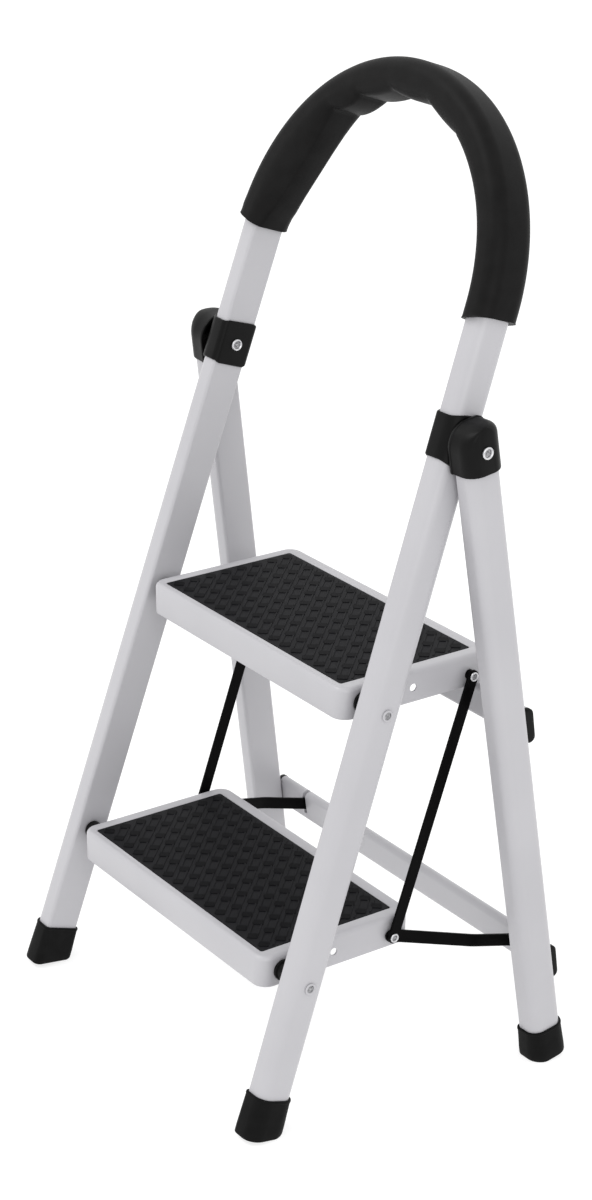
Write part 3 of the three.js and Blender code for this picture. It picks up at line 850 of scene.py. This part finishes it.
def turned_bar(centre, shape):
    """A bar of the tread pattern with rounded corners, turned to its angle."""
    half_long, half_wide = shape["long"] / 2, shape["wide"] / 2
    cos, sin = math.cos(shape["angle"]), math.sin(shape["angle"])
    outline = box_outline(-half_long, half_long, -half_wide, half_wide, half_wide * 0.3, 2)
    return [(centre[0] + x * cos - y * sin, centre[1] + x * sin + y * cos) for x, y in outline]


def add_bar(data, outline, base, top, narrow):
    """Adds one raised bar to the mat; its top is a little smaller than its foot."""
    middle = Vector((sum(p[0] for p in outline), sum(p[1] for p in outline))) / len(outline)
    foot = [Vector((x, y, base)) for x, y in outline]
    crown = [Vector((middle.x + (x - middle.x) * narrow, middle.y + (y - middle.y) * narrow, top))
             for x, y in outline]
    add_loft(data, [foot, crown])


def make_mat(level):
    """Ribbed rubber mat: a thin sheet with a sharp edge under the raised tread pattern."""
    name = f"{level}_step_mat"
    low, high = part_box(name)
    top = high.z - 0.4 * MM
    data = bmesh.new()

    def sheet(inset, z):
        outline = box_outline(low.x + inset, high.x - inset, low.y + inset, high.y - inset, 2 * MM, 3)
        return [Vector((x, y, z)) for x, y in outline]

    add_loft(data, [sheet(0, low.z), sheet(0, top - 0.3 * MM), sheet(0.3 * MM, top)])
    margin = 3 * MM
    field = ((low.x + margin, low.y + margin), (high.x - margin, high.y - margin))
    columns = round((high.x - low.x) / MAT_PATTERN["x"])
    rows = round((high.y - low.y) / MAT_PATTERN["y"])
    smallest = 6 * MM * MM
    base = top - 0.3 * MM
    dark = []
    for i in range(2 * columns):
        for j in range(i % 2, 2 * rows, 2):
            x = low.x + (i + 1) * MAT_PATTERN["x"] / 2
            y = low.y + (j + 1) * MAT_PATTERN["y"] / 2
            if i % 2 == 0:
                pad = clip_to(turned_bar((x, y), PAD), *field)
                if len(pad) > 2 and polygon_area(pad) > smallest:
                    first = len(data.faces)
                    add_bar(data, pad, base, top + MAT_PATTERN["rise"], 0.86)
                    dark.append((first, len(data.faces)))
                continue
            for offset in (-RIB["offset"], RIB["offset"]):
                rib = clip_to(turned_bar((x + offset, y + offset), RIB), *field)
                if len(rib) > 2 and polygon_area(rib) > smallest:
                    add_bar(data, rib, base, top + MAT_PATTERN["rise"], 0.94)
    data.faces.ensure_lookup_table()
    # The pads take the darker rubber: painted shade, not a colour of the mat.
    for first, last in dark:
        for face in data.faces[first:last]:
            face.material_index = 1
    piece = finish_mesh(name, data)
    piece.data.materials.append(MATERIALS["mat_rubber"])
    piece.data.materials.append(MATERIALS["mat_rubber_painted_shade"])
    settle(piece, "mat_rubber", f"{level}_step", name)


for step in LEVELS:
    make_tray(step)
    make_mat(step)

# ---------- links ----------


def make_bar(name, start, end, width, low_x, high_x, body, bend=0.0):
    """Flat bar with round ends between two points; bend carries its far part outward."""
    direction = (end - start).normalized()
    length = (end - start).length
    normal = Vector((0, -direction.z, direction.y))
    r = width / 2
    chamfer = 0.5 * MM
    places = [-r + r * (1 - math.cos(math.pi / 2 * k / 8)) for k in range(9)]
    places += [length * k / 24 for k in range(1, 24)]
    places += [length + r * math.sin(math.pi / 2 * k / 8) for k in range(9)]
    rings = []
    for u in places:
        over = max(0.0, -u, u - length)
        half = max(math.sqrt(max(0.0, r * r - over * over)), 0.3 * MM)
        way = (u / length - BEND["from"]) / (BEND["to"] - BEND["from"])
        shift = bend * min(1.0, max(0.0, way))
        soft = min(chamfer, half * 0.5)
        inner, outer = sorted((low_x + shift, high_x + shift))
        section = [(inner, half - soft), (inner, soft - half), (inner + soft, -half),
                   (outer - soft, -half), (outer, soft - half), (outer, half - soft),
                   (outer - soft, half), (inner + soft, half)]
        middle = start + direction * u
        rings.append([Vector((x, 0, 0)) + middle + normal * n for x, n in section])
    piece = loft(name, rings, sharp=30)
    settle(piece, "black_steel", body, name)


def link_faces(node_name, side):
    """Inner and outer face of a flat link near its lower pivot, in x."""
    thick = 3 * MM
    low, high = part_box(node_name)
    inner = low.x if side > 0 else -high.x
    return side * inner, side * (inner + thick)


def crossbar_slot_point():
    middle, _ = crossbar_middle("lower_crossbar")
    return on_crossbar(middle, 0, 2 * MM, 0)


for label, sign in SIDES.items():
    faces = link_faces(f"long_link_{label}", sign)
    make_bar(f"long_link_{label}", LINK_PIVOT["lower"], LINK_PIVOT["upper"], LINK_WIDTH["long"],
             *faces, f"long_link_{label}")
    link_outside = abs(faces[1])
    faces = link_faces(f"short_link_{label}", sign)
    target_x = sign * (SLOT["x"] - 1.5 * MM)
    make_bar(f"short_link_{label}", LINK_PIVOT["lower"], crossbar_slot_point(), LINK_WIDTH["short"],
             *faces, f"short_link_{label}", bend=target_x - faces[0])
    for step in LEVELS:
        pair_of_heads(f"{step}_link_rivet_{label}", LINK_PIVOT[step], sign,
                      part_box(f"{step}_step_tray")[1].x - SHEET - CLEAR, link_outside + CLEAR,
                      4.8 * MM, 1.5 * MM, f"{step}_step")
    washer_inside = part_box("upper_step_tray")[1].x + CLEAR
    washer = lathe(f"link_washer_{label}", [(2.9 * MM, washer_inside), (5.2 * MM, washer_inside),
                                            (5.2 * MM, link_outside - 3.3 * MM),
                                            (2.9 * MM, link_outside - 3.3 * MM)],
                   Vector((0, LINK_PIVOT["upper"].y, LINK_PIVOT["upper"].z)), sign)
    settle(washer, "black_steel", "upper_step", f"link_washer_{label}")
